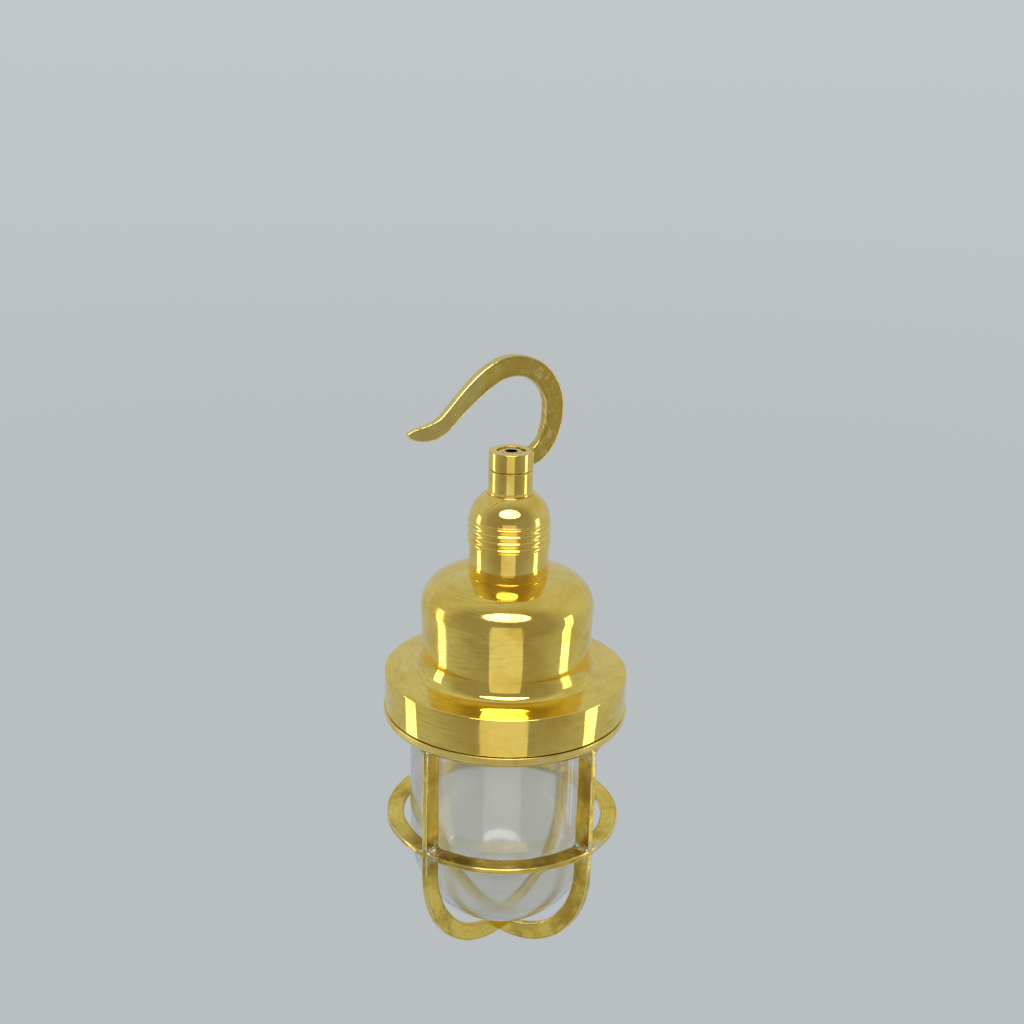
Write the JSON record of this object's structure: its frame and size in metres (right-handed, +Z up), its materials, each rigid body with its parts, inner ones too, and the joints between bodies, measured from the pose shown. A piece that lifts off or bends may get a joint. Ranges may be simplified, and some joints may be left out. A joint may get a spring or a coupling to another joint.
{
  "type": "ship lantern",
  "caption": "Hanging brass ship lantern: flat hook on a swivelling collar, screw lampholder, bell housing with a threaded flange, round-ended glass jar and a soldered cage guard that screws on.",
  "frame": {"origin": "where the hook rests on its support, on the lantern's own axis", "axes": "+Z up along the lantern's axis, hook in the XZ plane with its tip towards -X, +Y to its other side"},
  "size_m": [0.126, 0.126, 0.3195],
  "materials": {
    "polished_brass": "polished, fine turning lines",
    "cast_brass": "filed casting with brown tarnish",
    "filed_brass": "hand filed and soldered",
    "steel": "zinc plated",
    "ceramic": "glazed porcelain",
    "rubber": "matt",
    "glass": "clear, blown"
  },
  "bodies": {
    "hook": {"hook": "cast_brass", "hook_collar": "polished_brass"},
    "lamp_body": {"collar_nut": "polished_brass", "nipple": "polished_brass", "swivel_washer": "cast_brass", "neck_collar": "polished_brass", "neck_grub_screw": "steel", "holder_dome": "polished_brass", "dome_nut": "polished_brass", "holder_shell": "polished_brass", "socket_insulator": "ceramic", "screw_shell": "polished_brass", "side_contact": "polished_brass", "terminal_blocks": "polished_brass", "terminal_screws": "steel", "holder_washer": "rubber", "holder_nut": "polished_brass", "bell_housing": "polished_brass", "earth_screw": "steel", "upper_gasket": "rubber"},
    "contact": {"centre_contact": "polished_brass"},
    "globe": {"glass_jar": "glass", "lower_gasket": "rubber"},
    "guard": {"guard_ring": "filed_brass", "guard_hoop": "filed_brass", "guard_arm_1": "filed_brass", "guard_arm_2": "filed_brass", "guard_arm_3": "filed_brass", "guard_arm_4": "filed_brass"}
  },
  "joints": [
    {"name": "hook_swivel", "type": "hinge", "parent": "hook", "child": "lamp_body", "pos_m": [0, 0, -0.0416], "axis": [0, 0, 1], "continuous": true},
    {"name": "contact_press", "type": "slide", "parent": "lamp_body", "child": "contact", "axis": [0, 0, 1], "range_m": [0, 0.0015], "stiffness_N_per_m": 2000},
    {"name": "globe_drop", "type": "slide", "parent": "lamp_body", "child": "globe", "axis": [0, 0, -1], "range_m": [0, 0.0121]},
    {"name": "guard_unscrew", "type": "hinge", "parent": "globe", "child": "guard", "pos_m": [0, 0, -0.1726], "axis": [0, 0, -1], "range_deg": [0, 1440]}
  ],
  "couplings": [
    {"joint": "globe_drop", "follows": "guard_unscrew", "m_per_rad": 0.00047746}
  ]
}
